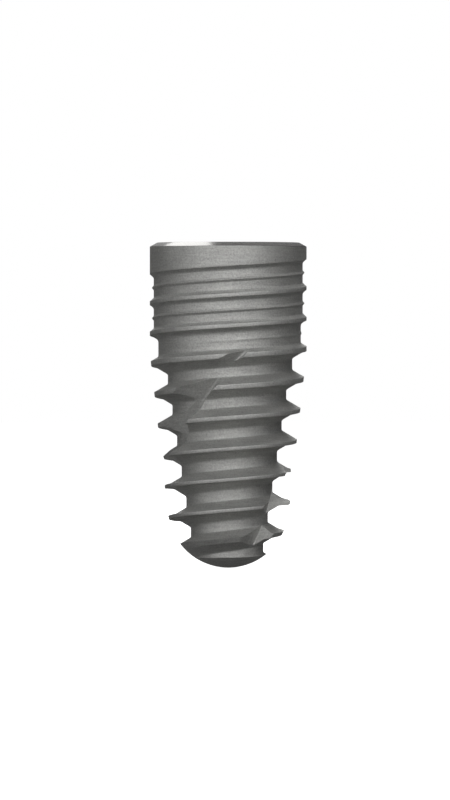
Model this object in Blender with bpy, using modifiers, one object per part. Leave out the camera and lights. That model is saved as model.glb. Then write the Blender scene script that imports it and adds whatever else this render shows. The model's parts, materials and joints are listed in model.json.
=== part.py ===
# Dental implant: the part that is screwed into the jaw bone, made from one bar of titanium.
# Metres, +Z up. The origin is the centre of the platform, the flat ring that the abutment sits
# on, and the apex points down. A drop is a distance below the platform.

import math

import bmesh
import bpy
from mathutils import Matrix

MM = 0.001

# Body
DIAMETER = 4.1 * MM
LENGTH = 8.5 * MM
BEVEL_WIDTH = 0.19 * MM
BEVEL_HEIGHT = 0.105 * MM
APEX_RADIUS = 1.58 * MM
APEX_EDGE_ANGLE = math.radians(14.0)

# Thread: right hand, one start. The first drop is that of the lower edge of the first crest
# at +X, and the angles of the flanks are from the horizontal.
PITCH = 0.8 * MM
FIRST_EDGE_DROP = 0.4355 * MM
RUN_OUT_FROM = math.radians(20.0)
RUN_OUT_TO = math.radians(120.0)

# The crests follow a cylinder and then a cone. So does the core, which also steps inwards
# where the shallow thread of the neck becomes the deep one.
CREST_TAPER_DROP = 2.9 * MM
CREST_TAPER = math.radians(6.35)
NECK_DEPTH = 0.102 * MM
CORE_TAPER_DROP = 2.1 * MM
CORE_TAPER = math.radians(8.53)
CORE_STEP = 0.14 * MM
CORE_STEP_FROM = 2.7 * MM
CORE_STEP_TO = 3.5 * MM

# Section of the thread, which changes from the neck's to the deep one below these drops
NECK_SECTION_DROP = 1.9 * MM
DEEP_SECTION_DROP = 2.5 * MM
NECK_CREST_WIDTH = 0.10 * MM
CREST_WIDTH = 0.13 * MM
LAST_CREST_WIDTH = 0.085 * MM
CREST_NARROWS_FROM = 3.2 * MM
CREST_NARROWS_TO = 5.2 * MM
NECK_FLANK = math.radians(45.0)
DEEP_FLANK = math.radians(30.0)
NECK_FILLET = 0.035 * MM
DEEP_FILLET = 0.055 * MM

# The tip of each deep tooth is a thin plate, which grows by a share of the drop near the apex.
TIP_EDGE = 0.02 * MM
TIP_EDGE_RISE = 0.006 * MM
LOWER_PLATE = 0.2 * MM
PLATE_RISE = 0.042 * MM
PLATE_FROM_DROP = 2.3 * MM
PLATE_FULL_DROP = 4.6 * MM
LOWER_PLATE_GROWTH = 0.02
UPPER_PLATE_DROP = 5.0 * MM
UPPER_PLATE_FULL_DROP = 6.5 * MM
UPPER_PLATE = 0.18 * MM
LAST_PLATE_RISE = 0.012 * MM

# The low second ridge in each groove of the neck
RIDGE_HEIGHT = 0.047 * MM
RIDGE_HALF_WIDTH = 0.05 * MM
RIDGE_FADE_DROP = 2.0 * MM
RIDGE_END_DROP = 2.78 * MM

# Cutting flutes: helical V grooves, evenly spaced. Their wall angles are from the radius.
FLUTES = 2
FLUTE_DROP = 3.8 * MM
FLUTE_ANGLE = math.radians(-112.5)
FLUTE_TURN_PER_METRE = math.radians(28.5) / MM
FLUTE_SINK = 0.045 * MM
FLUTE_TAPER = math.radians(7.75)
FLUTE_RUN_OUT_RADIUS = 1.25 * MM
CUTTING_WALL = math.radians(40.0)
RELIEF_WALL = math.radians(70.0)

# Connection for the abutment, and the bore for its screw
HEX_ACROSS_FLATS = 2.42 * MM
HEX_DEPTH = 1.6 * MM
HEX_TURN = math.radians(30.0)
LEAD_IN_CLEARANCE = 0.05 * MM
BORE_RADIUS = 0.80 * MM
BORE_LENGTH = 3.6 * MM
BORE_LEAD_IN = 0.15 * MM
DRILL_POINT = math.radians(118.0)

# How finely the round and helical shapes are divided, and how far cutters reach past the metal
STEPS_PER_TURN = 36
FLUTE_STATIONS = 40
APEX_STEPS = 10
TURNED_STEPS = 40
BORE_STEPS = 24
CUT_MARGIN = 0.3 * MM
MERGE_DISTANCE = 1e-8
SHARP_ANGLE = math.radians(20.0)

BODY_RADIUS = DIAMETER / 2


def mix(first, second, share):
    return first + (second - first) * share


def share_of(low, high, value):
    return min(max((value - low) / (high - low), 0.0), 1.0)


def smooth_share(low, high, value):
    share = share_of(low, high, value)
    return share * share * (3.0 - 2.0 * share)


def crest_radius(drop):
    return BODY_RADIUS - math.tan(CREST_TAPER) * max(drop - CREST_TAPER_DROP, 0.0)


def core_radius(drop):
    cone = math.tan(CORE_TAPER) * max(drop - CORE_TAPER_DROP, 0.0)
    step = CORE_STEP * smooth_share(CORE_STEP_FROM, CORE_STEP_TO, drop)
    return BODY_RADIUS - NECK_DEPTH - cone - step


def groove_section(edge_drop):
    """One groove, from the lower edge of the crest above it to the lower edge of the next, as
    pairs of drop and radius. The core is parallel to the axis inside each groove."""
    middle = edge_drop + PITCH / 2
    deep = share_of(NECK_SECTION_DROP, DEEP_SECTION_DROP, middle)
    plated = share_of(PLATE_FROM_DROP, PLATE_FULL_DROP, middle)
    upper_plated = share_of(UPPER_PLATE_DROP, UPPER_PLATE_FULL_DROP, middle)
    narrowed = share_of(CREST_NARROWS_FROM, CREST_NARROWS_TO, middle)
    crest_width = mix(NECK_CREST_WIDTH, mix(CREST_WIDTH, LAST_CREST_WIDTH, narrowed), deep)
    growth = LOWER_PLATE_GROWTH * max(middle - PLATE_FULL_DROP, 0.0)
    lower_plate = mix(TIP_EDGE, LOWER_PLATE, plated) + growth
    lower_rise = mix(mix(TIP_EDGE_RISE, PLATE_RISE, plated), LAST_PLATE_RISE, upper_plated)
    upper_plate = mix(TIP_EDGE, UPPER_PLATE, upper_plated)
    upper_rise = mix(TIP_EDGE_RISE, PLATE_RISE, upper_plated)
    flank = math.tan(mix(NECK_FLANK, DEEP_FLANK, deep))
    fillet = mix(NECK_FILLET, DEEP_FILLET, deep)

    core = core_radius(middle)
    lower_crest = crest_radius(edge_drop)
    upper_edge = edge_drop + PITCH - crest_width
    upper_crest = crest_radius(upper_edge)
    lower_foot = edge_drop + lower_rise + (lower_crest - lower_plate - core) * flank
    upper_foot = upper_edge - upper_rise - (upper_crest - upper_plate - core) * flank
    root_start = lower_foot + fillet
    root_end = upper_foot - fillet
    root_middle = (root_start + root_end) / 2
    ridge_half = min(RIDGE_HALF_WIDTH, (root_end - root_start) / 3)
    ridge = RIDGE_HEIGHT * (1.0 - share_of(RIDGE_FADE_DROP, RIDGE_END_DROP, middle))
    return [
        (edge_drop, lower_crest),
        (edge_drop + lower_rise, lower_crest - lower_plate),
        (lower_foot - fillet * flank, core + fillet),
        (root_start, core),
        (root_middle - ridge_half, core),
        (root_middle, core + ridge),
        (root_middle + ridge_half, core),
        (root_end, core),
        (upper_foot + fillet * flank, core + fillet),
        (upper_edge - upper_rise, upper_crest - upper_plate),
        (upper_edge, upper_crest),
    ]


def around(radius, angle, drop):
    return (radius * math.cos(angle), radius * math.sin(angle), -drop)


def new_object(name, mesh, collection):
    made = bpy.data.objects.new(name, mesh)
    collection.objects.link(made)
    return made


def titanium():
    """Blasted and etched titanium: a matt grey metal."""
    material = bpy.data.materials.new("blasted_titanium")
    material.use_nodes = True
    shader = material.node_tree.nodes["Principled BSDF"]
    shader.inputs["Base Color"].default_value = (0.27, 0.27, 0.265, 1.0)
    shader.inputs["Metallic"].default_value = 1.0
    shader.inputs["Roughness"].default_value = 0.6
    return material


def thread_row(turn, cut, bm):
    """The points of one section of the groove. Turn 0 is where the first crest passes +X."""
    angle = turn * math.tau
    row = []
    for drop, radius in groove_section(FIRST_EDGE_DROP - PITCH * turn):
        cut_radius = mix(crest_radius(drop), radius, cut)
        row.append(bm.verts.new(around(cut_radius, angle, drop)))
    return row


def threaded_body(collection):
    """The bar with its thread. Its groove section changes all the way along the helix, so the
    body is a loft of those sections, closed by the platform at the top and a fan at the bottom."""
    bm = bmesh.new()
    last_turn = RUN_OUT_TO / math.tau
    turns_below = (LENGTH + CUT_MARGIN - FIRST_EDGE_DROP) / PITCH
    count = math.ceil((last_turn + turns_below) * STEPS_PER_TURN)
    rows = []
    for index in range(count + 1):
        turn = last_turn - (count - index) / STEPS_PER_TURN
        cut = 1.0 - share_of(RUN_OUT_FROM, RUN_OUT_TO, turn * math.tau)
        rows.append(thread_row(turn, cut if index > 0 else 0.0, bm))

    for row, next_row in zip(rows, rows[1:]):
        for place in range(len(row) - 1):
            bm.faces.new((row[place], row[place + 1], next_row[place + 1], next_row[place]))
    for index in range(STEPS_PER_TURN, count):
        below = rows[index - STEPS_PER_TURN]
        next_below = rows[index - STEPS_PER_TURN + 1]
        bm.faces.new((rows[index][-1], below[0], next_below[0], rows[index + 1][-1]))

    last = rows[count]
    edge_rows = rows[count - STEPS_PER_TURN:]
    bevel_ring = []
    platform_ring = []
    for step in range(STEPS_PER_TURN):
        angle = (last_turn + step / STEPS_PER_TURN) * math.tau
        bevel_ring.append(bm.verts.new(around(BODY_RADIUS, angle, BEVEL_HEIGHT)))
        platform_ring.append(bm.verts.new(around(BODY_RADIUS - BEVEL_WIDTH, angle, 0.0)))
    seam = [bevel_ring[0], *last, edge_rows[0][0], edge_rows[1][0], bevel_ring[1]]
    bm.faces.new(seam)
    for step in range(1, STEPS_PER_TURN):
        after = (step + 1) % STEPS_PER_TURN
        bm.faces.new((bevel_ring[step], edge_rows[step][0], edge_rows[step + 1][0], bevel_ring[after]))
    for step in range(STEPS_PER_TURN):
        after = (step + 1) % STEPS_PER_TURN
        bm.faces.new((platform_ring[step], bevel_ring[step], bevel_ring[after], platform_ring[after]))
    platform = bm.faces.new(platform_ring)

    rim = [row[-1] for row in rows[:STEPS_PER_TURN + 1]] + rows[0][:-1]
    heights = [vertex.co.z for vertex in rim]
    lowest = bm.verts.new((0.0, 0.0, (min(heights) + max(heights)) / 2))
    for vertex, after in zip(rim, rim[1:] + rim[:1]):
        bm.faces.new((vertex, lowest, after))

    bmesh.ops.recalc_face_normals(bm, faces=bm.faces)
    for face in bm.faces:
        face.smooth = face is not platform
    mesh = bpy.data.meshes.new("implant_fixture")
    bm.to_mesh(mesh)
    bm.free()
    mesh.set_sharp_from_angle(angle=SHARP_ANGLE)
    mesh.materials.append(titanium())
    return new_object("implant_fixture", mesh, collection)


def hide_cutter(cutter):
    cutter.hide_render = True
    cutter.display_type = "WIRE"
    return cutter


def turned(name, profile, steps, collection):
    """A turned solid from a profile of (radius, drop) pairs, which runs down its outer side."""
    mesh = bpy.data.meshes.new(name)
    points = [(radius, 0.0, -drop) for radius, drop in profile]
    edges = [(first, first + 1) for first in range(len(points) - 1)]
    mesh.from_pydata(points, edges, [])
    made = new_object(name, mesh, collection)
    screw = made.modifiers.new("Turn", "SCREW")
    screw.axis = "Z"
    screw.angle = math.tau
    screw.steps = steps
    screw.render_steps = steps
    screw.use_merge_vertices = True
    screw.merge_threshold = MERGE_DISTANCE
    return made


def turned_blank(collection):
    """What is left of the bar once its end is rounded: clear of the thread, with the domed apex.
    The dome stops short of its widest circle and goes on as the straight cone that touches it."""
    outer = BODY_RADIUS + CUT_MARGIN
    centre_drop = LENGTH - APEX_RADIUS
    edge_radius = APEX_RADIUS * math.cos(APEX_EDGE_ANGLE)
    edge_drop = centre_drop + APEX_RADIUS * math.sin(APEX_EDGE_ANGLE)
    cone_top = edge_drop - (outer - edge_radius) / math.tan(APEX_EDGE_ANGLE)
    profile = [(0.0, -CUT_MARGIN), (outer, -CUT_MARGIN), (outer, cone_top)]
    for step in range(APEX_STEPS):
        angle = mix(APEX_EDGE_ANGLE, math.pi / 2, step / APEX_STEPS)
        profile.append((APEX_RADIUS * math.cos(angle), centre_drop + APEX_RADIUS * math.sin(angle)))
    profile.append((0.0, LENGTH))
    return hide_cutter(turned("turned_blank", profile, TURNED_STEPS, collection))


def flute_valley(drop):
    """The radius of a flute's valley: a line along the taper, with a round run-out at the top."""
    start = core_radius(FLUTE_DROP) - FLUTE_SINK
    rise = FLUTE_DROP - drop
    run_out = max(rise, 0.0) ** 2 / (2 * FLUTE_RUN_OUT_RADIUS)
    return start + math.tan(FLUTE_TAPER) * rise + run_out


def flute_top():
    """The drop at which the run-out has left the metal."""
    slope = math.tan(FLUTE_TAPER) * FLUTE_RUN_OUT_RADIUS
    height = BODY_RADIUS + CUT_MARGIN - flute_valley(FLUTE_DROP)
    return FLUTE_DROP + slope - math.sqrt(slope ** 2 + 2 * FLUTE_RUN_OUT_RADIUS * height)


def flute_cutter(number, collection):
    """The space of one flute: a V that turns and sinks with the taper."""
    bm = bmesh.new()
    top = flute_top()
    bottom = LENGTH + CUT_MARGIN
    sections = []
    for station in range(FLUTE_STATIONS + 1):
        drop = mix(top, bottom, station / FLUTE_STATIONS)
        angle = FLUTE_ANGLE - FLUTE_TURN_PER_METRE * (drop - FLUTE_DROP) + math.tau * number / FLUTES
        valley = flute_valley(drop)
        corners = [(valley, 0.0)]
        for wall in (CUTTING_WALL, -RELIEF_WALL):
            corners.append((valley + BODY_RADIUS * math.cos(wall), BODY_RADIUS * math.sin(wall)))
        section = []
        for out, along in corners:
            x = out * math.cos(angle) - along * math.sin(angle)
            y = out * math.sin(angle) + along * math.cos(angle)
            section.append(bm.verts.new((x, y, -drop)))
        sections.append(section)
    for section, below in zip(sections, sections[1:]):
        for corner in range(3):
            after = (corner + 1) % 3
            bm.faces.new((section[corner], below[corner], below[after], section[after]))
    bm.faces.new(sections[0])
    bm.faces.new(reversed(sections[-1]))
    bmesh.ops.recalc_face_normals(bm, faces=bm.faces)
    mesh = bpy.data.meshes.new(f"flute_cutter_{number + 1}")
    bm.to_mesh(mesh)
    bm.free()
    return hide_cutter(new_object(mesh.name, mesh, collection))


def hex_cutter(collection):
    """The space of the hexagonal socket, with flats to the front and the back."""
    corner_radius = HEX_ACROSS_FLATS / math.sqrt(3.0)
    height = HEX_DEPTH + CUT_MARGIN
    bm = bmesh.new()
    bmesh.ops.create_cone(
        bm, cap_ends=True, segments=6, radius1=corner_radius, radius2=corner_radius, depth=height
    )
    bmesh.ops.rotate(bm, verts=bm.verts, matrix=Matrix.Rotation(HEX_TURN, 3, "Z"))
    bmesh.ops.translate(bm, verts=bm.verts, vec=(0.0, 0.0, height / 2 - HEX_DEPTH))
    mesh = bpy.data.meshes.new("hex_cutter")
    bm.to_mesh(mesh)
    bm.free()
    return hide_cutter(new_object("hex_cutter", mesh, collection))


def bore_cutter(collection):
    """The space of the lead-in cone, the screw bore and the drill point under it."""
    mouth = HEX_ACROSS_FLATS / math.sqrt(3.0) + LEAD_IN_CLEARANCE
    bore_mouth = BORE_RADIUS + BORE_LEAD_IN
    bore_bottom = HEX_DEPTH + BORE_LENGTH
    point = BORE_RADIUS / math.tan(DRILL_POINT / 2)
    above_floor = LEAD_IN_CLEARANCE
    profile = [
        (0.0, -CUT_MARGIN),
        (mouth + CUT_MARGIN, -CUT_MARGIN),
        (bore_mouth, mouth - bore_mouth),
        (bore_mouth + above_floor, HEX_DEPTH - above_floor),
        (BORE_RADIUS, HEX_DEPTH + BORE_LEAD_IN),
        (BORE_RADIUS, bore_bottom),
        (0.0, bore_bottom + point),
    ]
    return hide_cutter(turned("bore_cutter", profile, BORE_STEPS, collection))


def add_boolean(body, cutter, operation):
    cut = body.modifiers.new(cutter.name, "BOOLEAN")
    cut.operation = operation
    cut.solver = "EXACT"
    cut.object = cutter


def build_implant():
    for old in list(bpy.data.objects):
        bpy.data.objects.remove(old, do_unlink=True)
    parts = bpy.data.collections.new("dental_implant")
    cutters = bpy.data.collections.new("dental_implant_cutters")
    bpy.context.scene.collection.children.link(parts)
    bpy.context.scene.collection.children.link(cutters)

    body = threaded_body(parts)
    add_boolean(body, turned_blank(cutters), "INTERSECT")
    for number in range(FLUTES):
        add_boolean(body, flute_cutter(number, cutters), "DIFFERENCE")
    add_boolean(body, hex_cutter(cutters), "DIFFERENCE")
    add_boolean(body, bore_cutter(cutters), "DIFFERENCE")


build_implant()
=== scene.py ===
# %% [markdown]
# # A dental implant, modelled and lit
#
# A dental implant is the part that is screwed into the jaw bone and later carries a tooth. It is
# one piece of titanium: a collar with a polished bevel, a shallow neck thread, a deep tapered
# thread, two cutting flutes and a round apex. Inside it are a hexagonal socket and a screw bore.
#
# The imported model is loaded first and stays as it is. It is divided coarsely, so this script
# makes the same body again, much finer and with its rounded edges, and then gives it its finish.
# The body is built the way a machinist would make it: a threaded bar, the cutters that take metal
# away, and last the blasting that leaves everything matt but the seat.

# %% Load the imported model
import json
import math

import bmesh
import bpy
from mathutils import Matrix, Vector

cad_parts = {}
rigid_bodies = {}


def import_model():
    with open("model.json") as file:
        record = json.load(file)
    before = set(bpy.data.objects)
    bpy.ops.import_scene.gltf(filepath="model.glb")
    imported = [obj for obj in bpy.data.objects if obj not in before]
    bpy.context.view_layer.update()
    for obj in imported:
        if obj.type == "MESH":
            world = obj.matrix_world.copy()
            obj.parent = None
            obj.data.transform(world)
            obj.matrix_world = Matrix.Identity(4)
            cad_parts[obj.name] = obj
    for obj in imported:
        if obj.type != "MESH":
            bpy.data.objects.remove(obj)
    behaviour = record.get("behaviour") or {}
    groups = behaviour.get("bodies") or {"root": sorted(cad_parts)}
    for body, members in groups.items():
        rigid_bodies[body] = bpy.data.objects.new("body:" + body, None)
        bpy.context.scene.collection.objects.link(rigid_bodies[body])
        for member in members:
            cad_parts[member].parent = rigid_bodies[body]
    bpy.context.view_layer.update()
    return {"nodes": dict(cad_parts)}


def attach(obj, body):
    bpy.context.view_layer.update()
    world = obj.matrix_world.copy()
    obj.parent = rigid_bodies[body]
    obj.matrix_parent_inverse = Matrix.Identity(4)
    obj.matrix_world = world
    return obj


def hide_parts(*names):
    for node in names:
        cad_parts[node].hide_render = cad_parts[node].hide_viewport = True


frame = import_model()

print("packed nodes:", sorted(frame["nodes"]))

# %% [markdown]
# ## Sizes
#
# The origin is the centre of the platform, the flat ring at the top, and the apex points down. A
# "drop" is a distance below the platform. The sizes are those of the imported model, apart from the
# flutes, which follow the teeth in the photo more closely, by up to a tenth of a millimetre, and
# from the small roundings that a milled and blasted part has. The body is modelled in
# millimetres, because booleans are safer on numbers near 1 than on thousandths, and is scaled to
# metres at the end.

# %% Sizes of the body
BODY_RADIUS = 2.05
LENGTH = 8.5
BEVEL_WIDTH = 0.19
BEVEL_HEIGHT = 0.105
EDGE_ROUNDING = 0.01
APEX_RADIUS = 1.58
APEX_EDGE_ANGLE = math.radians(14.0)
print(f"implant: {2 * BODY_RADIUS} mm wide, {LENGTH} mm long")

# %% Units, and how far cutters reach past the body
MM = 0.001
CUT_MARGIN = 0.3
MERGE = 1e-5
print("points less than", MERGE, "mm apart are merged")

# %% Sizes of the thread
PITCH = 0.8
FIRST_EDGE_DROP = 0.4355
RUN_OUT_FROM = math.radians(20.0)
RUN_OUT_TO = math.radians(120.0)
CREST_TAPER_DROP = 2.9
CREST_TAPER = math.radians(6.35)
NECK_DEPTH = 0.102
CORE_TAPER_DROP = 2.1
CORE_TAPER = math.radians(8.53)
CORE_STEP = 0.14
CORE_STEP_FROM = 2.7
CORE_STEP_TO = 3.5
print("turns of thread:", round((LENGTH - FIRST_EDGE_DROP) / PITCH, 1))

# %% Sizes of the flutes and of the connection
FLUTES = 2
FLUTE_DROP = 4.68
FLUTE_ANGLE = math.radians(-131.0)
FLUTE_TURN_PER_MM = math.radians(30.0)
FLUTE_SINK = 0.111
FLUTE_TAPER = math.radians(6.0)
FLUTE_RUN_OUT_RADIUS = 3.7
CUTTING_WALL = math.radians(17.0)
RELIEF_WALL = math.radians(78.0)
BORE_RADIUS = 0.80
BORE_BOTTOM = 5.2
HEX_ACROSS_FLATS = 2.42
HEX_DEPTH = 1.6
print(f"socket: {HEX_ACROSS_FLATS} mm across flats, {HEX_DEPTH} mm deep")

# %% [markdown]
# ## Helpers for profiles
#
# Turned and threaded shapes start from a profile: a chain of points, each a drop and a radius.
# Real corners are never quite sharp, because a tool's tip is round and blasting wears every edge.
# `rounded` replaces each corner by a short curve that starts a set distance before the corner and
# ends as far behind it. A bevel on the finished body could do this too, but the curve always has
# the same number of points, so sections of different sizes can be joined.

# %% Mixing and rounding
def mix(first, second, share):
    return first + (second - first) * share


def share_of(low, high, value):
    return min(max((value - low) / (high - low), 0.0), 1.0)


def smooth_share(low, high, value):
    share = share_of(low, high, value)
    return share * share * (3.0 - 2.0 * share)


SETBACK_LIMIT = 0.48


def rounded(corners):
    """Rounds a chain of (drop, radius, setback, steps). A setback of 0 keeps the corner."""
    places = [Vector(corner[:2]) for corner in corners]
    chain = []
    for number, (drop, radius, setback, steps) in enumerate(corners):
        here = places[number]
        if setback == 0.0:
            chain.append(here)
            continue
        before = places[number - 1] - here
        after = places[number + 1] - here
        start = here + before.normalized() * min(setback, before.length * SETBACK_LIMIT)
        end = here + after.normalized() * min(setback, after.length * SETBACK_LIMIT)
        for step in range(steps + 1):
            share = step / steps
            chain.append(start.lerp(here, share).lerp(here.lerp(end, share), share))
    return chain


trial = rounded([(0.0, 0.0, 0.0, 0), (1.0, 0.0, 0.1, 3), (1.0, 1.0, 0.0, 0)])
print("points of a corner rounded in 3 steps:", len(trial) - 2)

# %% [markdown]
# ## The section of the thread
#
# One turn of the thread is one groove between two crests. In the neck the groove is shallow and
# has a low second ridge, further down it is deep and its teeth are thin plates. The crests follow
# a cylinder and then a cone, and the core tapers faster, so the thread gets deeper towards the
# apex. One fixed profile can't show this, so the section is a function of the drop.

# %% Radius of the crests and of the core
def crest_radius(drop):
    return BODY_RADIUS - math.tan(CREST_TAPER) * max(drop - CREST_TAPER_DROP, 0.0)


def core_radius(drop):
    cone = math.tan(CORE_TAPER) * max(drop - CORE_TAPER_DROP, 0.0)
    step = CORE_STEP * smooth_share(CORE_STEP_FROM, CORE_STEP_TO, drop)
    return BODY_RADIUS - NECK_DEPTH - cone - step


for drop in (1.0, 3.0, 5.0, 7.0):
    depth = crest_radius(drop) - core_radius(drop)
    print(f"thread depth {drop:.0f} mm down: {depth:.3f} mm")

# %% Where the section changes, as drops from and to
DEEPENING = (1.9, 2.5)
RIDGE_FADE = (2.0, 2.78)
LOWER_PLATING = (2.3, 4.6)
UPPER_PLATING = (5.0, 6.5)
NARROWING = (3.2, 5.2)
print("the neck ends between drops of", DEEPENING[0], "and", DEEPENING[1], "mm")

# %% Its sizes before and after each change
NECK_CREST = 0.10
DEEP_CRESTS = (0.13, 0.085)
LOWER_PLATE = (0.02, 0.2)
LOWER_PLATE_GROWTH = 0.02
UPPER_PLATE = (0.02, 0.18)
PLATE_RISE = (0.006, 0.042)
APEX_RISE = 0.012
FLANK_ANGLE = (math.radians(45.0), math.radians(30.0))
LOWER_FILLET = (0.04, 0.085)
UPPER_FILLET = (0.02, 0.045)
RIDGE_HEIGHT = 0.052
RIDGE_HALF_WIDTH = 0.055
print("crest widths:", NECK_CREST, "then", *DEEP_CRESTS, "mm")

# %% One groove with its roundings
INTO_CREST = 0.04
CREST_ROUNDING = 0.01
PLATE_ROUNDING = 0.03
RIDGE_ROUNDING = 0.016
RIDGE_FOOT_ROUNDING = 0.02


def groove_section(edge_drop):
    """From the middle of one crest to the middle of the next one, as points (drop, radius)."""
    middle = edge_drop + PITCH / 2
    deep = share_of(*DEEPENING, middle)
    plated = share_of(*LOWER_PLATING, middle)
    upper_plated = share_of(*UPPER_PLATING, middle)
    crest_width = mix(NECK_CREST, mix(*DEEP_CRESTS, share_of(*NARROWING, middle)), deep)
    growth = LOWER_PLATE_GROWTH * max(middle - LOWER_PLATING[1], 0.0)
    lower_plate = mix(*LOWER_PLATE, plated) + growth
    lower_rise = mix(mix(*PLATE_RISE, plated), APEX_RISE, upper_plated)
    upper_plate = mix(*UPPER_PLATE, upper_plated)
    upper_rise = mix(*PLATE_RISE, upper_plated)
    flank = math.tan(mix(*FLANK_ANGLE, deep))

    core = core_radius(middle)
    lower_crest = crest_radius(edge_drop)
    upper_edge = edge_drop + PITCH - crest_width
    upper_crest = crest_radius(upper_edge)
    lower_foot = edge_drop + lower_rise + (lower_crest - lower_plate - core) * flank
    upper_foot = upper_edge - upper_rise - (upper_crest - upper_plate - core) * flank
    root_middle = (lower_foot + upper_foot) / 2
    ridge_half = min(RIDGE_HALF_WIDTH, (upper_foot - lower_foot) / 4)
    ridge = RIDGE_HEIGHT * (1.0 - share_of(*RIDGE_FADE, middle))
    first = edge_drop - INTO_CREST
    return rounded([
        (first, crest_radius(first), 0.0, 0),
        (edge_drop, lower_crest, CREST_ROUNDING, 2),
        (edge_drop + lower_rise, lower_crest - lower_plate, PLATE_ROUNDING, 2),
        (lower_foot, core, mix(*LOWER_FILLET, deep), 4),
        (root_middle - ridge_half, core, RIDGE_FOOT_ROUNDING, 2),
        (root_middle, core + ridge, RIDGE_ROUNDING, 2),
        (root_middle + ridge_half, core, RIDGE_FOOT_ROUNDING, 2),
        (upper_foot, core, mix(*UPPER_FILLET, deep), 4),
        (upper_edge - upper_rise, upper_crest - upper_plate, PLATE_ROUNDING, 2),
        (upper_edge, upper_crest, CREST_ROUNDING, 2),
        (first + PITCH, crest_radius(first + PITCH), 0.0, 0),
    ])


print("points in one section:", len(groove_section(FIRST_EDGE_DROP)))

# %% [markdown]
# ## The threaded bar
#
# On a lathe the thread is cut by a tool that travels along the turning bar. In Blender it can be
# made with a screw modifier, or by spinning a profile while it rises. Spin is used here, because
# its result can still be changed point by point: each point remembers its place in the section
# and its turn, and is then moved to the section that belongs to that turn. This gives the taper,
# the change from neck to deep thread, and the first groove's run-out into the plain collar.

# %% Sweep a profile along a helix
def helix_sweep(bm, chain, first_turn, sweep, steps, rise, copies=1):
    """Spins a chain of (drop, radius) through a part of a turn while it rises, and sets whole
    copies of the result on top of each other. Layers keep each point's place and turn."""
    place = bm.verts.layers.int.new("place")
    turn = bm.verts.layers.float.new("turn")
    row = []
    for number, (drop, radius) in enumerate(chain):
        point = bm.verts.new((radius, 0.0, -drop))
        point[place] = number
        row.append(point)
    chain_edges = [bm.edges.new(pair) for pair in zip(row, row[1:])]
    start = Matrix.Rotation(first_turn * math.tau, 3, "Z")
    bmesh.ops.rotate(bm, verts=row, matrix=start)
    bmesh.ops.spin(
        bm, geom=row + chain_edges, axis=(0.0, 0.0, 1.0), cent=(0.0, 0.0, 0.0),
        dvec=(0.0, 0.0, rise * sweep / steps), angle=sweep * math.tau, steps=steps,
    )
    first = bm.verts[:] + bm.edges[:] + bm.faces[:]
    for number in range(1, copies):
        copy = bmesh.ops.duplicate(bm, geom=first)["geom"]
        points = [item for item in copy if isinstance(item, bmesh.types.BMVert)]
        bmesh.ops.translate(bm, verts=points, vec=(0.0, 0.0, rise * sweep * number))
    for point in bm.verts:
        point[turn] = first_turn + (point.co.z + chain[point[place]][0]) / rise
    return place, turn


# %% Make the bar
STEPS_PER_TURN = 120
FIRST_TURN = -10.5
TURNS = 12


def put(point, radius, angle, drop):
    point.co = (radius * math.cos(angle), radius * math.sin(angle), -drop)


bar = bmesh.new()
place, turn = helix_sweep(
    bar, groove_section(FIRST_EDGE_DROP), FIRST_TURN, 1.0, STEPS_PER_TURN, PITCH, TURNS
)
sections = {}
for point in bar.verts:
    step = round(point[turn] * STEPS_PER_TURN)
    if step not in sections:
        sections[step] = groove_section(FIRST_EDGE_DROP - PITCH * step / STEPS_PER_TURN)
    angle = step / STEPS_PER_TURN * math.tau
    drop, radius = sections[step][point[place]]
    cut = 1.0 - smooth_share(RUN_OUT_FROM, RUN_OUT_TO, angle)
    put(point, mix(crest_radius(drop), radius, cut), angle, drop)
bmesh.ops.remove_doubles(bar, verts=bar.verts, dist=MERGE)
print("threaded bar:", len(bar.verts), "points,", len(bar.faces), "faces")

# %% [markdown]
# ## The bevel, the platform and the open end
#
# The platform is the seat that the abutment stands on, and the polished bevel round it is the one
# bright place in the photo. The bar is cut level just under the bevel. The circle that is left is
# drawn up and in by extruding its edges, first round the small outer edge, then along the bevel,
# and is closed as the platform. The lower end is cut level too, below the apex, and closed: the
# dome is cut later.

# %% Cut the bar level
def cut_level(bm, height, keep_below):
    """Cuts a bar at a height, keeps one side, and gives back the edges of the open circle."""
    bmesh.ops.bisect_plane(
        bm, geom=bm.verts[:] + bm.edges[:] + bm.faces[:], dist=MERGE,
        plane_co=(0.0, 0.0, height), plane_no=(0.0, 0.0, 1.0),
        clear_outer=keep_below, clear_inner=not keep_below,
    )
    return [
        edge for edge in bm.edges
        if edge.is_boundary and abs(edge.verts[0].co.z - height) < MERGE
    ]


top_edges = cut_level(bar, -BEVEL_HEIGHT - EDGE_ROUNDING, True)
bottom_edges = cut_level(bar, -LENGTH - CUT_MARGIN / 2, False)
print("edges round the top:", len(top_edges), "and round the bottom:", len(bottom_edges))

# %% Draw up the bevel and close both ends
bevel = rounded([
    (BEVEL_HEIGHT + EDGE_ROUNDING, BODY_RADIUS, 0.0, 0),
    (BEVEL_HEIGHT, BODY_RADIUS, EDGE_ROUNDING, 3),
    (0.0, BODY_RADIUS - BEVEL_WIDTH, EDGE_ROUNDING, 3),
    (0.0, BODY_RADIUS - BEVEL_WIDTH - 2 * EDGE_ROUNDING, 0.0, 0),
])[2:]
ring = top_edges
for drop, radius in bevel:
    drawn = bmesh.ops.extrude_edge_only(bar, edges=ring)["geom"]
    ring = [item for item in drawn if isinstance(item, bmesh.types.BMEdge)]
    for point in {point for edge in ring for point in edge.verts}:
        put(point, radius, math.atan2(point.co.y, point.co.x), drop)
bmesh.ops.edgeloop_fill(bar, edges=ring)
bmesh.ops.edgeloop_fill(bar, edges=bottom_edges)
bmesh.ops.recalc_face_normals(bar, faces=bar.faces)
print("open edges of the bar:", sum(edge.is_boundary for edge in bar.edges))

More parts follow.
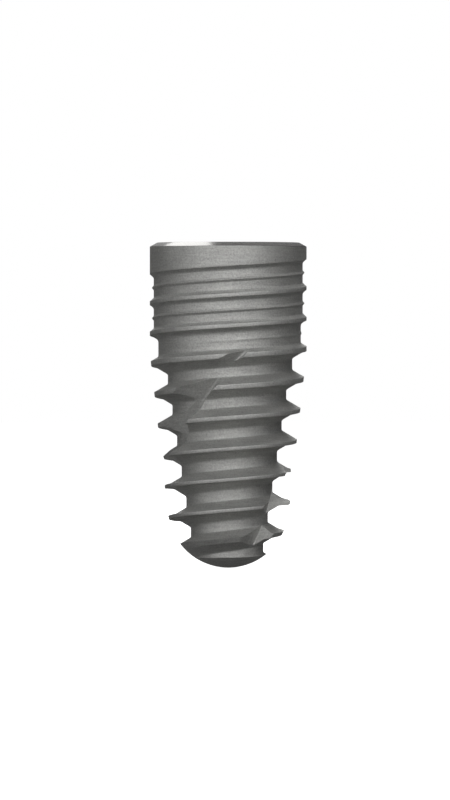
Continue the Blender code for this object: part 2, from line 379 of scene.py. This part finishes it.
# %% [markdown]
# ## Cutters
#
# What a lathe, a mill or a broach takes away is made as a solid and taken away with a boolean.
# The blank is the reverse: only what lies inside it stays. A turned solid is a profile spun once
# round, and its seam and poles are merged. The blank has the implant's domed apex, which pushes
# the jaw's soft bone aside instead of piercing it.

# %% Turn a profile into a solid
def turned_solid(chain, steps):
    """Spins a chain of (drop, radius), whose ends are on the axis, into a closed solid."""
    bm = bmesh.new()
    row = [bm.verts.new((radius, 0.0, -drop)) for drop, radius in chain]
    chain_edges = [bm.edges.new(pair) for pair in zip(row, row[1:])]
    bmesh.ops.spin(
        bm, geom=row + chain_edges, axis=(0.0, 0.0, 1.0), cent=(0.0, 0.0, 0.0),
        angle=math.tau, steps=steps, use_merge=True,
    )
    bmesh.ops.remove_doubles(bm, verts=bm.verts, dist=MERGE)
    bmesh.ops.recalc_face_normals(bm, faces=bm.faces)
    return bm


# %% Turn a bmesh into an object
def new_object(name, bm):
    """Makes an object, with its points, edges and faces in the same order at every run."""
    for number, point in enumerate(sorted(bm.verts, key=lambda point: tuple(point.co))):
        point.index = number
    bm.verts.sort()
    for items in (bm.edges, bm.faces):
        in_order = sorted(items, key=lambda item: sorted(point.index for point in item.verts))
        for number, item in enumerate(in_order):
            item.index = number
        items.sort()
    mesh = bpy.data.meshes.new(name)
    bm.to_mesh(mesh)
    bm.free()
    made = bpy.data.objects.new(name, mesh)
    bpy.context.scene.collection.objects.link(made)
    return made


# %% The blank with the domed apex
DOME_STEPS = 36
BLANK_STEPS = 144
centre_drop = LENGTH - APEX_RADIUS
edge_radius = APEX_RADIUS * math.cos(APEX_EDGE_ANGLE)
edge_drop = centre_drop + APEX_RADIUS * math.sin(APEX_EDGE_ANGLE)
outer = BODY_RADIUS + CUT_MARGIN
cone_top = edge_drop - (outer - edge_radius) / math.tan(APEX_EDGE_ANGLE)
dome = [(-CUT_MARGIN, 0.0), (-CUT_MARGIN, outer), (cone_top, outer)]
for step in range(DOME_STEPS):
    angle = mix(APEX_EDGE_ANGLE, math.pi / 2, step / DOME_STEPS)
    dome.append((centre_drop + APEX_RADIUS * math.sin(angle), APEX_RADIUS * math.cos(angle)))
dome.append((LENGTH, 0.0))
blank = new_object("blank", turned_solid(dome, BLANK_STEPS))
print("blank:", len(blank.data.polygons), "faces")

# %% [markdown]
# ## Cutting flutes
#
# Two long grooves wind down the deep thread and break its teeth, so that the implant cuts its own
# way into the bone. The steep wall is the cutting edge, and the flat one lets the chips go. Each
# flute is a V that turns as it goes down, sinks with the taper and runs out at the top in an arc,
# as a milling cutter leaves it. It is swept as the thread is, from a closed section of three
# corners, because a curve with a bevel object can't change its section on the way.

# %% Path and section of a flute
VALLEY_SHARPENING = (4.4, 5.2)
VALLEY_ROUNDING = (0.12, 0.03)
FLUTE_REACH = 1.5 * BODY_RADIUS


def flute_valley(drop):
    """Radius of the valley: a line along the taper, with a round run-out at the top."""
    rise = FLUTE_DROP - drop
    run_out = max(rise, 0.0) ** 2 / (2 * FLUTE_RUN_OUT_RADIUS)
    return core_radius(FLUTE_DROP) - FLUTE_SINK + math.tan(FLUTE_TAPER) * rise + run_out


def flute_section(drop):
    """The closed section of the V: points (along the skin, outwards) from its valley."""
    valley_rounding = mix(*VALLEY_ROUNDING, share_of(*VALLEY_SHARPENING, drop))
    corners = rounded([
        (-math.sin(RELIEF_WALL) * FLUTE_REACH, math.cos(RELIEF_WALL) * FLUTE_REACH, 0.0, 0),
        (0.0, 0.0, valley_rounding, 6),
        (math.sin(CUTTING_WALL) * FLUTE_REACH, math.cos(CUTTING_WALL) * FLUTE_REACH, 0.0, 0),
    ])
    return corners + corners[:1]


print("valley of a flute at the apex:", round(flute_valley(LENGTH), 3), "mm from the axis")

# %% Sweep the flute cutters
FLUTE_STEPS = 96
CORNER_SPACING = 0.1


def flute_cutter(number):
    """One flute as a solid. The sweep goes up from the bottom, and each point is then put in its
    place in the section that belongs to its drop."""
    slope = math.tan(FLUTE_TAPER) * FLUTE_RUN_OUT_RADIUS
    height = BODY_RADIUS + CUT_MARGIN - flute_valley(FLUTE_DROP)
    top = FLUTE_DROP + slope - math.sqrt(slope ** 2 + 2 * FLUTE_RUN_OUT_RADIUS * height)
    bottom = LENGTH + CUT_MARGIN
    bm = bmesh.new()
    lead = math.tau / FLUTE_TURN_PER_MM
    turns = (bottom - top) / lead
    corners = range(len(flute_section(bottom)))
    chain = [(bottom, BODY_RADIUS + CORNER_SPACING * corner) for corner in corners]
    place, turn = helix_sweep(bm, chain, 0.0, turns, FLUTE_STEPS, lead)
    for point in bm.verts:
        drop = bottom - point[turn] * lead
        rise = FLUTE_DROP - drop
        angle = FLUTE_ANGLE + FLUTE_TURN_PER_MM * rise + math.tau * number / FLUTES
        along, out = flute_section(drop)[point[place]]
        out += flute_valley(drop)
        point.co = (
            out * math.cos(angle) - along * math.sin(angle),
            out * math.sin(angle) + along * math.cos(angle),
            -drop,
        )
    bmesh.ops.remove_doubles(bm, verts=bm.verts, dist=MERGE)
    bmesh.ops.holes_fill(bm, edges=[edge for edge in bm.edges if edge.is_boundary], sides=0)
    bmesh.ops.recalc_face_normals(bm, faces=bm.faces)
    print("open edges of a flute cutter:", sum(not edge.is_manifold for edge in bm.edges))
    return new_object(f"flute_cutter_{number + 1}", bm)


flute_cutters = [flute_cutter(number) for number in range(FLUTES)]
print("each flute cutter:", len(flute_cutters[0].data.polygons), "faces")

# %% [markdown]
# ## Socket and screw bore
#
# The abutment stands on the platform, is kept from turning by a hexagonal socket, and is pulled
# down by a small screw. The photo does not show this side, so standard forms are used: a broached
# hexagon with slightly rounded corners, a lead-in cone, a countersunk bore and a fine inner
# thread.

# %% Hexagon
HEX_CORNER_ROUNDING = 0.05
HEX_TURN = math.radians(30.0)
hexagon = bmesh.new()
hex_height = HEX_DEPTH + CUT_MARGIN
hex_corner = HEX_ACROSS_FLATS / math.sqrt(3.0)
bmesh.ops.create_cone(
    hexagon, cap_ends=True, segments=6, radius1=hex_corner, radius2=hex_corner, depth=hex_height
)
bmesh.ops.rotate(hexagon, verts=hexagon.verts, matrix=Matrix.Rotation(HEX_TURN, 3, "Z"))
bmesh.ops.translate(hexagon, verts=hexagon.verts, vec=(0.0, 0.0, hex_height / 2 - HEX_DEPTH))
hex_corners = [
    edge for edge in hexagon.edges
    if abs(edge.verts[0].co.z - edge.verts[1].co.z) > HEX_DEPTH
]
bmesh.ops.bevel(
    hexagon, geom=hex_corners, offset=HEX_CORNER_ROUNDING, offset_type="OFFSET", affect="EDGES",
    segments=4, profile=0.5, material=-1,
)
hex_cutter = new_object("hex_cutter", hexagon)
print("hexagon corners rounded:", len(hex_corners))

# %% Lead-in, bore and drill point
BORE_STEPS = 96
COUNTERSINK = 0.15
FLOOR_EDGE = 0.05
DRILL_POINT_ANGLE = math.radians(118.0)
mouth = hex_corner + FLOOR_EDGE
bore_mouth = BORE_RADIUS + COUNTERSINK
point_height = BORE_RADIUS / math.tan(DRILL_POINT_ANGLE / 2)
bore_cutter = new_object("bore_cutter", turned_solid([
    (-CUT_MARGIN, 0.0),
    (-CUT_MARGIN, mouth + CUT_MARGIN),
    (mouth - bore_mouth, bore_mouth),
    (HEX_DEPTH - FLOOR_EDGE, bore_mouth + FLOOR_EDGE),
    (HEX_DEPTH + COUNTERSINK, BORE_RADIUS),
    (BORE_BOTTOM, BORE_RADIUS),
    (BORE_BOTTOM + point_height, 0.0),
], BORE_STEPS))
print("bore:", round(BORE_BOTTOM + point_height, 2), "mm deep at its drill point")

# %% Profile of the tap for the inner thread
TAP_PITCH = 0.4
TAP_RADIUS = 1.0
TAP_STEPS = 64
TAP_TURNS = 11
TAP_INSIDE_BORE = 0.02
tap_root = BORE_RADIUS - TAP_INSIDE_BORE
tap_chain = [(BORE_BOTTOM + rise, radius) for rise, radius in (
    (0.0, tap_root),
    (0.0875, tap_root),
    (0.175, TAP_RADIUS),
    (0.225, TAP_RADIUS),
    (0.3125, tap_root),
    (TAP_PITCH, tap_root),
)]
print("inner thread:", round(TAP_RADIUS - BORE_RADIUS, 3), "mm deep")

# %% Sweep the tap
TAP_TOP = 0.06
TAP_END = 0.3
tap = bmesh.new()
helix_sweep(tap, tap_chain, 0.0, 1.0, TAP_STEPS, TAP_PITCH, TAP_TURNS)
bmesh.ops.remove_doubles(tap, verts=tap.verts, dist=MERGE)
tap_top = cut_level(tap, -HEX_DEPTH - TAP_TOP, True)
tap_bottom = cut_level(tap, -BORE_BOTTOM + TAP_END, False)
bmesh.ops.edgeloop_fill(tap, edges=tap_top)
bmesh.ops.edgeloop_fill(tap, edges=tap_bottom)
bmesh.ops.recalc_face_normals(tap, faces=tap.faces)
print("open edges of the tap:", sum(edge.is_boundary for edge in tap.edges))
tap_cutter = new_object("tap_cutter", tap)

# %% [markdown]
# ## Put together
#
# The booleans could cut the threaded bar one after the other. Here everything is taken away from
# the plain blank first, and then the bar is kept only where it lies inside the blank. Cutting the
# finely divided bar just once is quick, and it is also the order in which the result came out
# closed every time. Hairline cracks along the seams are merged, the body is scaled to metres, and
# its edges are marked sharp where two cuts meet, so that everything else is shaded round.

# %% Cut the body
body = new_object("implant_body", bar)


def boolean(target, tool, operation):
    cut = target.modifiers.new(tool.name, "BOOLEAN")
    cut.operation = operation
    cut.solver = "EXACT"
    cut.object = tool


cutters = (*flute_cutters, hex_cutter, bore_cutter, tap_cutter)
for cutter in cutters:
    boolean(blank, cutter, "DIFFERENCE")
boolean(body, blank, "INTERSECT")
cut_body = body.evaluated_get(bpy.context.evaluated_depsgraph_get())
finished = bpy.data.meshes.new_from_object(cut_body)
body.modifiers.clear()
body.data = finished
finished.name = "implant_body"
for cutter in (blank, *cutters):
    bpy.data.objects.remove(cutter, do_unlink=True)
print("cut body:", len(finished.vertices), "points,", len(finished.polygons), "faces")

# %% Merge the seams and scale to metres
merged = bmesh.new()
merged.from_mesh(finished)
bmesh.ops.remove_doubles(merged, verts=merged.verts, dist=MERGE)
print("open edges of the body:", sum(not edge.is_manifold for edge in merged.edges))
print("volume:", round(merged.calc_volume(), 2), "cubic mm")
merged.to_mesh(finished)
merged.free()
finished.transform(Matrix.Scale(MM, 4))

# %% Smooth shading with sharp edges
SHARP_FROM = math.radians(32.0)
for polygon in finished.polygons:
    polygon.use_smooth = True
finished.set_sharp_from_angle(angle=SHARP_FROM)
print("edges sharp from", round(math.degrees(SHARP_FROM)), "degrees")

# %% [markdown]
# ## Shader maths
#
# Materials are node graphs, and they could be drawn in the editor. Here they are written as
# Python expressions, which are easier to read in a text. A Link is the output of a node, and
# arithmetic on it adds Math nodes. Its `node` method adds any other node: first its settings,
# then its sockets.

# %% Link
class Link:
    """The output of a node. Without a socket it is an empty tree, ready for its first node."""

    def __init__(self, tree, socket=None):
        self.tree = tree
        self.socket = socket

    def node(self, kind, settings, inputs, output=0):
        made = self.tree.nodes.new(kind)
        for name, value in settings.items():
            setattr(made, name, value)
        for name, value in inputs.items():
            if isinstance(value, Link):
                self.tree.links.new(value.socket, made.inputs[name])
            else:
                made.inputs[name].default_value = value
        return Link(self.tree, made.outputs[output] if len(made.outputs) else None)

    def maths(self, operation, *values):
        return self.node("ShaderNodeMath", {"operation": operation}, dict(enumerate(values)))

    def __add__(self, other):
        return self.maths("ADD", self, other)

    def __sub__(self, other):
        return self.maths("SUBTRACT", self, other)

    def __rsub__(self, other):
        return self.maths("SUBTRACT", other, self)

    def __mul__(self, other):
        return self.maths("MULTIPLY", self, other)

    __radd__ = __add__
    __rmul__ = __mul__


# %% Start an empty node tree
def empty_tree(owner):
    owner.use_nodes = True
    owner.node_tree.nodes.clear()
    return Link(owner.node_tree)


# %% [markdown]
# ## Where the metal is bare
#
# The outside of an implant is blasted and etched, because bone grows better onto a rough surface.
# The bevel, the platform, the socket and the bore stay bare turned metal, so that the parts that
# are fitted there seat well. Two materials on different faces would do, but their border would
# follow the edges of the faces. One material with a mask keeps the border level. The mask is made
# from the height and from the distance to the axis, both in Object coordinates.

# %% Height and distance to the axis
titanium = bpy.data.materials.new("blasted_and_machined_titanium")
start = empty_tree(titanium)
position = start.node("ShaderNodeTexCoord", {}, {}, "Object")
height = position.node("ShaderNodeSeparateXYZ", {}, {0: position}, "Z")


def from_axis(place):
    """The distance from the object's upright axis."""
    level = place.node(
        "ShaderNodeVectorMath", {"operation": "MULTIPLY"}, {0: place, 1: (1.0, 1.0, 0.0)}
    )
    return level.node("ShaderNodeVectorMath", {"operation": "LENGTH"}, {0: level}, "Value")


radius = from_axis(position)
print("material:", titanium.name)

# %% Mask of the machined places
BLEND = 0.02
BEVEL_END = BEVEL_HEIGHT - 0.004
BEVEL_BLEND = 0.016
SOCKET_END = 1.70
SOCKET_WALL = 1.49
BORE_END = 5.74
BORE_WALL = 1.015
BORE_BLEND = 0.005


def step_at(value, low, high):
    """0 below the first value, 1 above the second one, and a smooth step between them."""
    return value.node(
        "ShaderNodeMapRange", {"interpolation_type": "SMOOTHSTEP"},
        {"Value": value, "From Min": low, "From Max": high, "To Min": 0.0, "To Max": 1.0},
    )


def above(drop, blend):
    return step_at(height, -(drop + blend) * MM, -drop * MM)


def within(wall, blend):
    return 1.0 - step_at(radius, wall * MM, (wall + blend) * MM)


on_bevel = above(BEVEL_END, BEVEL_BLEND)
in_socket = above(SOCKET_END, BLEND) * within(SOCKET_WALL, BLEND)
in_bore = above(BORE_END, BLEND) * within(BORE_WALL, BORE_BLEND)
inside = in_socket.maths("MAXIMUM", in_socket, in_bore)
machined = on_bevel.maths("MAXIMUM", on_bevel, inside)
print("nodes in the mask:", len(titanium.node_tree.nodes))

# %% [markdown]
# ## The blasted grain
#
# Blasting and etching leave pits of a few hundredths of a millimetre, and faint rings from
# turning still show through. Three noises give this: a fine one for the pits, one that is
# stretched round the body for the rings, and a coarse one for patches. They mix a dark and a
# light grey, and the fine one also drives a small bump. A displaced mesh would need far more
# faces for the same effect.

# %% Three noises
GRAIN_SCALE = 24000.0
PATCH_SCALE = 1800.0
RING_SCALES = (1800.0, 1800.0, 26000.0)
GRAIN_SHARE = 1.2
RING_SHARE = 0.6
PATCH_SHARE = 0.3
TONE_SHIFT = 0.55


def noise(place, scale, roughness):
    return place.node("ShaderNodeTexNoise", {"noise_dimensions": "3D"}, {
        "Vector": place, "Scale": scale, "Detail": 2.0, "Roughness": roughness,
    }, "Fac")


stretched = position.node(
    "ShaderNodeVectorMath", {"operation": "MULTIPLY"}, {0: position, 1: RING_SCALES}
)
grain = noise(position, GRAIN_SCALE, 0.6)
rings = noise(stretched, 1.0, 0.55)
patches = noise(position, PATCH_SCALE, 0.5)
tone = grain * GRAIN_SHARE + rings * RING_SHARE + patches * PATCH_SHARE - TONE_SHIFT
print("one grain is about", round(1 / GRAIN_SCALE / MM, 3), "mm")

# %% Colour, gloss and bump
GREY = (0.58, 0.58, 0.564, 1.0)
DARK_GREY = (0.29, 0.29, 0.282, 1.0)
MACHINED_GREY = (0.50, 0.495, 0.48, 1.0)
BLASTED_ROUGHNESS = 0.67
MACHINED_ROUGHNESS = 0.16
PIT_DEPTH = 0.012
BUMP_STRENGTH = 0.5


def colour_mix(share, first, second):
    return share.node("ShaderNodeMix", {"data_type": "RGBA"}, {0: share, 6: first, 7: second}, 2)


colour = colour_mix(machined, colour_mix(tone, DARK_GREY, GREY), MACHINED_GREY)
bump = grain.node("ShaderNodeBump", {}, {
    "Strength": BUMP_STRENGTH, "Distance": PIT_DEPTH * MM, "Height": grain * (1.0 - machined),
})
shader = colour.node("ShaderNodeBsdfPrincipled", {}, {
    "Base Color": colour, "Metallic": 1.0, "Normal": bump,
    "Roughness": mix(BLASTED_ROUGHNESS, MACHINED_ROUGHNESS, machined),
})
shader.node("ShaderNodeOutputMaterial", {}, {"Surface": shader})
print("nodes in the titanium:", len(titanium.node_tree.nodes))

# %% Give the body its material and its place in the part
finished.materials.clear()
finished.materials.append(titanium)
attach(body, "root")
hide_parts("implant_fixture")
print(body.name, "rides on root")

# %% [markdown]
# ## White floor and background
#
# The photo is a plain product shot on white, with no floor line and hardly a shadow. More light
# would make the background white, but would burn out the metal too. So the floor and the world
# glow only for the camera and in reflections, where a strength of 1 is white, and light the
# object very little. Next to the object the floor glows a little less, so that the object's soft
# shadow still shows on it.

# %% Rays that see the background
def white_for_camera(start):
    """1 for rays from the camera, for reflections and for rays through glass."""
    from_camera, in_metal, through_glass = [
        start.node("ShaderNodeLightPath", {}, {}, name)
        for name in ("Is Camera Ray", "Is Glossy Ray", "Is Transmission Ray")
    ]
    indirect = in_metal.maths("MAXIMUM", in_metal, through_glass)
    return from_camera.maths("MAXIMUM", from_camera, indirect)


# %% Floor
FLOOR_GAP = 0.01
FLOOR_RADIUS = 2.0
FLOOR_NEAR_GLOW = 0.8
WHITE = (1.0, 1.0, 1.0, 1.0)
PAPER = (0.85, 0.85, 0.85, 1.0)

floor_mesh = bmesh.new()
bmesh.ops.create_circle(floor_mesh, cap_ends=True, segments=96, radius=FLOOR_RADIUS)
floor_height = -(LENGTH + FLOOR_GAP) * MM
bmesh.ops.translate(floor_mesh, verts=floor_mesh.verts, vec=(0.0, 0.0, floor_height))
floor = new_object("floor", floor_mesh)
print("floor at", round(floor_height / MM, 3), "mm")

# %% Paper of the floor
GLOW_GROWS_FROM = 10
GLOW_GROWS_TO = 60
paper = bpy.data.materials.new("white_paper")
start = empty_tree(paper)
across = from_axis(start.node("ShaderNodeTexCoord", {}, {}, "Object"))
away = step_at(across, GLOW_GROWS_FROM * MM, GLOW_GROWS_TO * MM)
lit = start.node("ShaderNodeBsdfDiffuse", {}, {"Color": PAPER})
brightness = away * (1.0 - FLOOR_NEAR_GLOW) + FLOOR_NEAR_GLOW
glow = start.node("ShaderNodeEmission", {}, {
    "Color": WHITE, "Strength": white_for_camera(start) * brightness,
})
both = lit.node("ShaderNodeAddShader", {}, {0: lit, 1: glow})
both.node("ShaderNodeOutputMaterial", {}, {"Surface": both})
floor.data.materials.append(paper)
print("nodes in the paper:", len(paper.node_tree.nodes))

# %% World
WORLD_LIGHT = 0.06
world = bpy.data.worlds.new("studio")
bpy.context.scene.world = world
start = empty_tree(world)
strength = white_for_camera(start) * (1.0 - WORLD_LIGHT) + WORLD_LIGHT
sky = start.node("ShaderNodeBackground", {}, {"Color": WHITE, "Strength": strength})
sky.node("ShaderNodeOutputWorld", {}, {"Surface": sky})
print("the world lights the object at", WORLD_LIGHT)

# %% [markdown]
# ## Lamps
#
# The metal in the photo is brightest in the middle and falls off to both sides, and its lower
# flanks are darker than its upper ones. Two large softboxes in front give this, one at the left
# at the height of the part and one at the right above it. A small one behind lights the back, and
# a small one high at the right lights the cutting faces of the flutes. The softboxes are large
# and near, because a metal shows its lamps: a small lamp would draw a hard streak.

# %% Softboxes
LAMP_DISTANCE = 0.25
OBJECT_CENTRE = Vector((0.0, 0.0, -LENGTH / 2 * MM))


def lamp(name, azimuth, elevation, size, level):
    """A square softbox, turned to the part. Azimuth 0 is the camera's side and 90 the right. A
    level of 1 makes a white surface that faces it render white."""
    light = bpy.data.lights.new(name, "AREA")
    light.shape = "SQUARE"
    light.size = size
    light.energy = level * (math.pi * LAMP_DISTANCE) ** 2
    made = bpy.data.objects.new(name, light)
    turn, lift = math.radians(azimuth), math.radians(elevation)
    out = Vector((
        math.sin(turn) * math.cos(lift), -math.cos(turn) * math.cos(lift), math.sin(lift),
    ))
    made.location = OBJECT_CENTRE + out * LAMP_DISTANCE
    made.rotation_euler = out.to_track_quat("Z", "Y").to_euler()
    bpy.context.scene.collection.objects.link(made)
    print("lamp", name, "at", azimuth, elevation, "degrees, level", level)


lamp("left", -43.0, 6.0, 0.2, 0.52)
lamp("right", 27.0, 28.0, 0.2, 0.475)
lamp("back", 180.0, 38.0, 0.1, 0.4)
lamp("top", 110.0, 60.0, 0.1, 0.11)

# %% [markdown]
# ## Cards
#
# On a white table a polished bevel would mirror nothing but white. A photographer puts dark and
# grey cards round such a thing, just out of the picture, so that its edges read against the
# white. The cards here do the same: dark ones at both sides and below, a grey one above, a
# lighter one further back, and a bright one that the bevel mirrors at its left, as in the photo.
# The camera doesn't see them and they cast no shadow. A plane is made as a small grid, turned,
# stretched and moved.

# %% One card
UPRIGHT = Matrix.Rotation(math.pi / 2, 3, "Y")
LYING = Matrix.Identity(3)
THINNEST = 1e-9


def card(name, turn, low, high, glow):
    """A card between two corners of its plane. Its glow is how bright it looks in the metal."""
    bm = bmesh.new()
    bmesh.ops.create_grid(bm, x_segments=1, y_segments=1, size=0.5)
    bmesh.ops.rotate(bm, verts=bm.verts, matrix=turn)
    size = [max(last - first, THINNEST) for first, last in zip(low, high)]
    bmesh.ops.scale(bm, verts=bm.verts, vec=size)
    bmesh.ops.translate(bm, verts=bm.verts, vec=(Vector(low) + Vector(high)) / 2)
    made = new_object(name, bm)
    paint = bpy.data.materials.new(name)
    start = empty_tree(paint)
    shade = start.node("ShaderNodeEmission", {}, {"Color": WHITE, "Strength": glow})
    shade.node("ShaderNodeOutputMaterial", {}, {"Surface": shade})
    made.data.materials.append(paint)
    made.visible_camera = False
    made.visible_shadow = False
    print("card", name, "glows at", glow)


# %% Cards at the sides and below
CARD_FRONT = -0.08
CARD_BACK = 1.5
CARD_SIDE = 0.06
CARD_BOTTOM = -0.3
CARD_MIDDLE = 0.015
CARD_TOP = 0.1
for side, name, glow in ((-CARD_SIDE, "left", 0.15), (CARD_SIDE, "right", 0.02)):
    card(
        f"card_{name}", UPRIGHT,
        (side, CARD_FRONT, CARD_BOTTOM), (side, CARD_BACK, CARD_MIDDLE), 0.0,
    )
    card(
        f"card_{name}_top", UPRIGHT,
        (side, CARD_FRONT, CARD_MIDDLE), (side, CARD_BACK, CARD_TOP), glow,
    )
under = -(LENGTH + FLOOR_GAP / 2) * MM
card("card_under", LYING, (-CARD_SIDE, CARD_FRONT, under), (CARD_SIDE, CARD_BACK, under), 0.11)

# %% Cards above
CARD_FAR = 0.17
BRIGHT_HEIGHT = CARD_TOP - MM
card(
    "card_above", LYING,
    (-CARD_SIDE, CARD_FRONT, CARD_TOP), (CARD_SIDE, CARD_FAR, CARD_TOP), 0.17,
)
card(
    "card_far_left", LYING,
    (-CARD_SIDE, CARD_FAR, CARD_TOP), (0.0, CARD_BACK, CARD_TOP), 0.36,
)
card(
    "card_far_right", LYING,
    (0.0, CARD_FAR, CARD_TOP), (CARD_SIDE, CARD_BACK, CARD_TOP), 0.17,
)
card(
    "card_bright", LYING,
    (-0.05, 0.05, BRIGHT_HEIGHT), (-0.013, 0.165, BRIGHT_HEIGHT), 1.7,
)

# %% [markdown]
# ## Camera
#
# The platform shows as a line and the thread has no perspective, so the camera is level with the
# middle of the part, far away, with a very long lens. The sensor is fitted by its height, which
# is the long side of the picture.

# %% Camera
CAMERA_PLACE = (-0.084, -319.6, -4.116)
camera_data = bpy.data.cameras.new("camera")
camera_data.sensor_fit = "VERTICAL"
camera_data.sensor_height = 36.0
camera_data.lens = 550.0
camera_data.clip_start = 0.01
camera_data.clip_end = 10.0
camera = bpy.data.objects.new("camera", camera_data)
camera.location = [value * MM for value in CAMERA_PLACE]
camera.rotation_euler = (math.pi / 2, 0.0, 0.0)
bpy.context.scene.collection.objects.link(camera)
bpy.context.scene.camera = camera
bpy.context.scene.view_settings.view_transform = "Standard"
print("camera at", CAMERA_PLACE, "mm")
